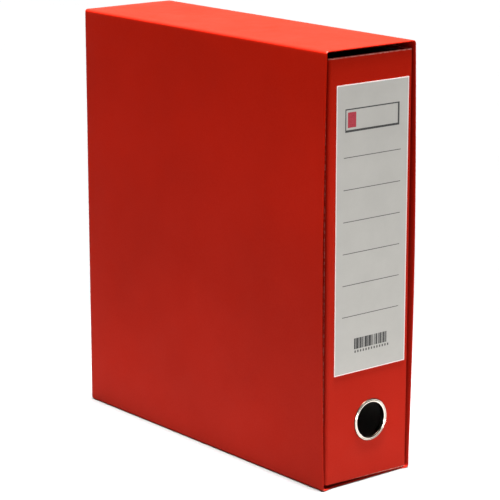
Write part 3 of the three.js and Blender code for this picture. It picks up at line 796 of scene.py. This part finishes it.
def add_label():
    """One cell of mesh for each cell of the grid that all the marks' edges make."""
    marks = label_marks()
    xs = {label_low.x, label_low.x + LABEL_HIGHLIGHT_BAND, label_high.x - LABEL_HIGHLIGHT_BAND, label_high.x}
    zs = {label_low.z, label_low.z + LABEL_HIGHLIGHT_BAND, label_high.z - LABEL_HIGHLIGHT_BAND, label_high.z}
    for left, low, right, high, _ in marks:
        xs |= {left, right}
        zs |= {low, high}
    xs, zs = sorted(xs), sorted(zs)
    front, back = label_low.y, label_high.y
    points = [(x, front, z) for z in zs for x in xs]
    faces, which = [], []
    for j in range(len(zs) - 1):
        for i in range(len(xs) - 1):
            k = j * len(xs) + i
            faces.append((k, k + 1, k + 1 + len(xs), k + len(xs)))
            which.append(cell_finish((xs[i] + xs[i + 1]) / 2, (zs[j] + zs[j + 1]) / 2, marks))
    add_label_back(points, faces, which, len(xs), len(zs), back - front)
    mesh = mesh_from("spine_label_sheet", points, faces)
    inks = [LABEL_PAPER, LABEL_EDGE_AND_HIGHLIGHT, DARK_INK, LINE_INK, RED_INK]
    keep("spine_label_sheet", "spine", "label_paper", inks, ["spine_label"], mesh)
    for polygon, material in zip(mesh.polygons, which):
        polygon.material_index = inks.index(material)
        polygon.use_smooth = False


def add_label_back(points, faces, which, columns, rows, thickness):
    """Closes the printed face into a thin sheet with a cut edge all round."""
    last = (rows - 1) * columns
    rim = list(range(columns - 1))
    rim += [columns - 1 + j * columns for j in range(rows - 1)]
    rim += [last + columns - 1 - i for i in range(columns - 1)]
    rim += [last - j * columns for j in range(rows - 1)]
    start = len(points)
    for k in rim:
        x, y, z = points[k]
        points.append((x, y + thickness, z))
    for i, k in enumerate(rim):
        following = (i + 1) % len(rim)
        faces.append((rim[following], k, start + i, start + following))
        # the cut edge also takes the pale painted highlight
        which.append(LABEL_EDGE_AND_HIGHLIGHT)
    faces.append(tuple(start + i for i in range(len(rim))))
    which.append(LABEL_PAPER)


# ---- Finger ring ----

RING_OUTSIDE = (ring_high.x - ring_low.x) / 2
RING_ROLL = (RING_OUTSIDE - RING_INSIDE) / 2
RING_SEAT = SPINE_FRONT - 0.1 * MM


def ring_rim():
    """The front half of the eyelet's section: a half-round rim with one fine groove round it."""
    rise = RING_SEAT - ring_low.y
    steps = 40
    made = []
    for k in range(steps + 1):
        turn = math.radians(180 + 180 * k / steps)
        share = 0.5 + 0.5 * math.cos(turn)
        groove = RING_GROOVE * math.exp(-(((share - GROOVE_PLACE) / GROOVE_SPREAD) ** 2))
        made.append((RING_INSIDE + 2 * RING_ROLL * share, RING_SEAT + rise * math.sin(turn) + groove))
    return made


def ring_barrel():
    """The rest of the section: the rim's underside, the barrel and its turned-over back edge."""
    inside, wall, seat, back = RING_INSIDE, RING_WALL, RING_SEAT, ring_high.y
    under = seat + 0.05 * MM
    made = [(RING_OUTSIDE - 0.3 * MM, under), (inside + wall + 0.2 * MM, under)]
    made += [(inside + wall, seat + 0.3 * MM), (inside + wall, back - wall - 0.2 * MM)]
    made += [(inside + 2.2 * wall, back - wall), (inside + 3 * wall, back - 0.9 * wall)]
    made += arc((inside + 2.7 * wall, back - wall / 2), wall / 2, 0, 90, 4)
    made += arc((inside + wall, back - wall), wall, 90, 180, 5)
    return made + [(inside, seat + 1.2 * MM), (inside, seat + 0.3 * MM)]


def add_finger_ring():
    """A rolled chrome eyelet, painted dark in its groove and on its two rims as shade and dark
    reflections.
    """
    profile = ring_rim() + ring_barrel()
    mesh = turned("finger_ring_chrome", "finger_ring", "y", profile, RING_SIDES, closed=True)
    keep("finger_ring_chrome", "spine", "bright_chrome", [CHROME, PAINTED_DARK_CHROME], ["finger_ring"], mesh)
    for polygon in mesh.polygons:
        place = polygon.center
        share = math.hypot(place.x - ring_middle.x, place.z - ring_middle.z) - RING_INSIDE
        share /= 2 * RING_ROLL
        front = place.y < RING_SEAT + 0.02 * MM
        # paints the groove's shade and the rims' dark reflections
        if front and any(low < share < high for low, high in PAINTED_DARK_BANDS):
            polygon.material_index = 1


def add_ring_washer():
    name, node = "finger_ring_back_washer", "finger_ring_washer"
    low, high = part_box(node)
    inner, outer = WASHER_INSIDE, (high.x - low.x) / 2
    section = [(inner, low.y), (outer, low.y), (outer, high.y), (inner, high.y)]
    section = rounded_corners(section, 0.15 * MM)
    mesh = turned(name, node, "y", section, WASHER_SIDES, closed=True)
    keep(name, "spine", "nickel_steel", [NICKEL], [node], mesh)


# ---- Covers and linings ----

RIVETS = [f"base_rivet_{i}" for i in range(1, 5)]
RIVET_HOLE = 2 * MM


def add_covers():
    for side, holes in (("front", []), ("back", rivet_holes())):
        body = side + "_cover"
        node = side + "_cover_board"
        style = ("cover_paper", FILE_RED, RIM, COVER_CORNER)
        board_piece(node + "_wrapped", node, "x", body, *style, holes=holes)
        add_lining(side + "_cover_lining", "x", body, holes)
    add_lining("spine_lining", "y", "spine", [FINGER_HOLE])


def add_lining(node, axis, body, holes):
    style = ("lining_paper", LINING, 0.08 * MM, 1.5 * MM)
    board_piece(node + "_sheet", node, axis, body, *style, strength=0, holes=holes)


def rivet_holes():
    boxes = [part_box(node) for node in RIVETS]
    return [(across("x", (low + high) / 2), RIVET_HOLE) for low, high in boxes]


# ---- Lever arch mechanism ----


def add_rivets():
    shank, play, lip = 1.6 * MM, 0.1 * MM, 0.15 * MM
    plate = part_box("mechanism_base_plate")[1].x + play
    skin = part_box("back_cover_board")[0].x - play
    dome = [math.pi / 2 * k / 6 for k in range(1, 7)]
    for node in RIVETS:
        low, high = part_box(node)
        radius = (high.y - low.y) / 2
        profile = [(0, low.x), (radius * 0.8, low.x), (radius, skin - 0.08 * MM), (radius, skin)]
        profile += [(shank, skin), (shank, plate), (radius, plate), (radius, plate + lip)]
        rise = high.x - plate - lip
        profile += [(radius * math.cos(t), plate + lip + rise * math.sin(t)) for t in dome]
        mesh = turned(node + "_domed", node, "x", profile, PIN_SIDES)
        keep(node + "_domed", "back_cover", "nickel_steel", [NICKEL], [node], mesh)


def add_posts():
    for node in ("lower_post", "upper_post"):
        low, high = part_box(node)
        collar = (high.y - low.y) / 2
        outer, bore, lip = 3.2 * MM, 2.2 * MM, 0.5 * MM
        step = low.x + 1 * MM
        profile = [(bore, low.x), (collar, low.x), (collar, step), (outer + 0.2 * MM, step)]
        profile += [(outer, step + 0.3 * MM), (outer, high.x - lip)]
        profile += arc((outer - lip, high.x - lip), lip, 0, 90, 6)[1:]
        profile += [(bore + 0.2 * MM, high.x), (bore, high.x - 0.25 * MM)]
        mesh = turned(node + "_turned", node, "x", profile, POST_SIDES, closed=True)
        made = keep(node + "_turned", "back_cover", "bright_chrome", [WIRE_CHROME], [node], mesh)
        made.data.set_sharp_from_angle(angle=math.radians(TURNED_ANGLE))


def bent_line(corners):
    """A line of points through corners (place, radius), each corner rounded to its radius."""
    spacing = 0.7 * MM
    made = [corners[0][0]]
    for (before, _), (here, radius), (after, _) in zip(corners, corners[1:], corners[2:]):
        arriving = (here - before).normalized()
        leaving = (after - here).normalized()
        turn = arriving.angle(leaving)
        setback = radius * math.tan(turn / 2)
        start = here - arriving * setback
        inward = (leaving - arriving * math.cos(turn)).normalized()
        centre = start + inward * radius
        steps = max(4, round(radius * turn / spacing))
        for k in range(steps + 1):
            t = turn * k / steps
            made.append(centre + radius * (arriving * math.sin(t) - inward * math.cos(t)))
    made.append(corners[-1][0])
    return [p for i, p in enumerate(made) if i == 0 or (p - made[i - 1]).length > TINY]


def tube(name, line, radius):
    """A round wire along a line of points, with its ends slightly rounded."""
    rings = []
    side = None
    for i, point in enumerate(line):
        ahead = (line[min(i + 1, len(line) - 1)] - line[max(i - 1, 0)]).normalized()
        side = ahead.orthogonal() if side is None else side
        side = (side - ahead * side.dot(ahead)).normalized()
        other = ahead.cross(side)
        spokes = [2 * math.pi * k / WIRE_SIDES for k in range(WIRE_SIDES)]
        circle = [side * math.cos(a) + other * math.sin(a) for a in spokes]
        if i in (0, len(line) - 1):
            out = -ahead if i == 0 else ahead
            bead = radius * 0.35
            ends = [(radius - bead * (1 - math.cos(t)), bead * math.sin(t)) for t in (1.5, 1.0, 0.5, 0.0)]
            caps = [[point - out * (bead - rise) + s * width for s in circle] for width, rise in ends]
            rings += caps if i == 0 else caps[::-1]
            continue
        rings.append([point + s * radius for s in circle])
    return loft(name, rings)


def add_arch_wire():
    low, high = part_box("arch_wire")
    r = WIRE_RADIUS
    near, far = low.y + r, high.y - r
    shaft, crown = low.x + r, high.x - r
    span = far - near
    end = crown - span / 2
    post = [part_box(name) for name in ("lower_post", "upper_post")]
    heights = [(a.z + b.z) / 2 for a, b in post]
    bracket_low, bracket_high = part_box("lever_bracket")
    crank_y = (bracket_low.y + bracket_high.y) / 2
    crank_z = (bracket_low.z + bracket_high.z) / 2
    foot_bend, crank_bend, half = 5 * MM, 3 * MM, 12 * MM
    over, under = crank_z + half, crank_z - half

    def arch(z):
        return [
            (Vector((end, far, z)), 0),
            (Vector((crown, far, z)), span / 2),
            (Vector((crown, near, z)), span / 2),
            (Vector((shaft, near, z)), foot_bend),
        ]

    crank = [(near, over), (crank_y, over), (crank_y, under), (near, under)]
    corners = arch(heights[1])
    corners += [(Vector((shaft, y, z)), crank_bend) for y, z in crank]
    corners += arch(heights[0])[::-1]
    mesh = tube("arch_wire_drawn", bent_line(corners), r)
    keep("arch_wire_drawn", "arches", "bright_chrome", [WIRE_CHROME], ["arch_wire"], mesh)


def add_pins():
    """Headed pins: the pivot, the roller's and the catch's, each with domed rims."""
    pins = [
        ("lever_pivot_pin", "back_cover", 1.5, 0.8),
        ("roller_pin", "lever_arm", 1.0, 0.6),
        ("catch_pin", "compressor", 1.0, 0.6),
    ]
    for node, body, shank, head in pins:
        low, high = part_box(node)
        radius = (high.x - low.x) / 2
        edge = 0.25 * MM
        shank, head = shank * MM, head * MM
        profile = [(0, low.y), (radius - edge, low.y), (radius, low.y + edge), (radius, low.y + head)]
        profile += [(shank, low.y + head), (shank, high.y - head), (radius, high.y - head)]
        profile += [(radius, high.y - edge), (radius - edge, high.y), (0, high.y)]
        mesh = turned(node + "_headed", node, "y", profile, PIN_SIDES)
        made = keep(node + "_headed", body, "nickel_steel", [NICKEL], [node], mesh)
        made.data.set_sharp_from_angle(angle=math.radians(TURNED_ANGLE))


def add_roller():
    low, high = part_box("roller")
    outer, bore, edge = (high.x - low.x) / 2, 1.3 * MM, 0.5 * MM
    profile = [(bore, low.y), (outer - edge, low.y), (outer, low.y + edge), (outer, high.y - edge)]
    profile += [(outer - edge, high.y), (bore, high.y)]
    profile = rounded_corners(profile, 0.3 * MM)
    mesh = turned("roller_moulded", "roller", "y", profile, POST_SIDES, closed=True)
    keep("roller_moulded", "roller_wheel", "black_plastic", [BLACK_PLASTIC], ["roller"], mesh)


def add_pressed_parts():
    parts = [
        ("mechanism_base_plate", "back_cover", "nickel_steel", NICKEL, 0.3),
        ("lower_bearing_strap", "back_cover", "nickel_steel", NICKEL, 0.25),
        ("upper_bearing_strap", "back_cover", "nickel_steel", NICKEL, 0.25),
        ("leaf_spring", "back_cover", "nickel_steel", SPRING_STEEL, 0.15),
        ("lever_bracket", "back_cover", "nickel_steel", NICKEL, 0.3),
        ("lever", "lever_arm", "bright_chrome", WIRE_CHROME, 0.3),
        ("compressor_bar", "compressor", "nickel_steel", NICKEL, 0.35),
        ("compressor_catch", "thumb_catch", "black_plastic", BLACK_PLASTIC, 0.35),
    ]
    for node, body, slot, material, width in parts:
        refine(node, body, slot, material, width * MM)


# ---- Stage ----


def face(made, direction):
    """Turns a camera or a light to look along a direction."""
    made.rotation_mode = "QUATERNION"
    made.rotation_quaternion = direction.to_track_quat("-Z", "Y")


def add_camera():
    camera = bpy.data.objects.new("camera", bpy.data.cameras.new("camera"))
    add_to_scene(camera)
    azimuth, drop = math.radians(CAMERA_AZIMUTH), math.radians(CAMERA_DROP)
    level = math.cos(drop)
    camera.location = CAMERA_PLACE
    face(camera, Vector((math.sin(azimuth) * level, math.cos(azimuth) * level, -math.sin(drop))))
    camera.data.lens = CAMERA_LENS
    camera.data.sensor_width = SENSOR_WIDTH
    camera.data.clip_start = CLIP_NEAR
    camera.data.clip_end = CLIP_FAR
    bpy.context.scene.camera = camera


def add_floor():
    half = FLOOR_HALF
    corners = [(-half, -half, 0), (half, -half, 0), (half, half, 0), (-half, half, 0)]
    floor = bpy.data.objects.new("floor", mesh_from("floor", corners, [(0, 1, 2, 3)]))
    add_to_scene(floor)
    n = Nodes("pale_floor")
    tone = n.spread(n.noise(3, 3), 0.0, 1.0)
    away = n.add("ShaderNodeVectorMath", {0: n.place}, operation="LENGTH").outputs["Value"]
    # a painted pool of light on the floor round the object
    near = n.ranged(away, *LIGHT_POOL_FADE, 1.0, 0.0)
    paper = n.blend(tone, *[grey(value) for value in FLOOR_TONES])
    n.feed(n.shader.inputs["Base Color"], n.blend(near, paper, grey(LIGHT_POOL_TONE)))
    floor.data.materials.append(n.shade(Roughness=0.9, Specular_IOR_Level=0.1))
    floor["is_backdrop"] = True


def add_lights():
    sun = bpy.data.objects.new("overhead", bpy.data.lights.new("overhead", "SUN"))
    sun.data.energy = SUN_POWER
    sun.data.angle = math.radians(SUN_SPREAD)
    face(sun, Vector(SUN_DIRECTION))
    add_to_scene(sun)

    fill = bpy.data.objects.new("low_front", bpy.data.lights.new("low_front", "AREA"))
    fill.data.shape = "RECTANGLE"
    fill.data.size, fill.data.size_y = FILL_SIZE
    fill.data.energy = FILL_POWER
    fill.location = FILL_PLACE
    face(fill, Vector(FILL_TARGET) - fill.location)
    fill.visible_camera = False
    add_to_scene(fill)


def add_sky():
    """A pale studio: bright up to a little above the horizon, dim overhead."""
    world = bpy.data.worlds.new("studio")
    bpy.context.scene.world = world
    world.use_nodes = True
    tree = world.node_tree
    place = tree.nodes.new("ShaderNodeTexCoord")
    split = tree.nodes.new("ShaderNodeSeparateXYZ")
    tree.links.new(place.outputs["Generated"], split.inputs["Vector"])
    level = tree.nodes.new("ShaderNodeMapRange")
    level.interpolation_type = "SMOOTHSTEP"
    limits = ("From Min", "From Max", "To Min", "To Max")
    for key, value in zip(limits, SKY_FADE + SKY_STRENGTHS):
        level.inputs[key].default_value = value
    tree.links.new(split.outputs["Z"], level.inputs["Value"])
    background = tree.nodes["Background"]
    background.inputs["Color"].default_value = grey(1.0)
    tree.links.new(level.outputs["Result"], background.inputs["Strength"])
    bpy.context.scene.view_settings.view_transform = "Standard"


add_camera()
add_floor()
add_lights()
add_sky()
add_sleeve()
add_back_panel()
add_spine()
add_label()
add_finger_ring()
add_ring_washer()
add_covers()
add_rivets()
add_posts()
add_arch_wire()
add_pins()
add_roller()
add_pressed_parts()
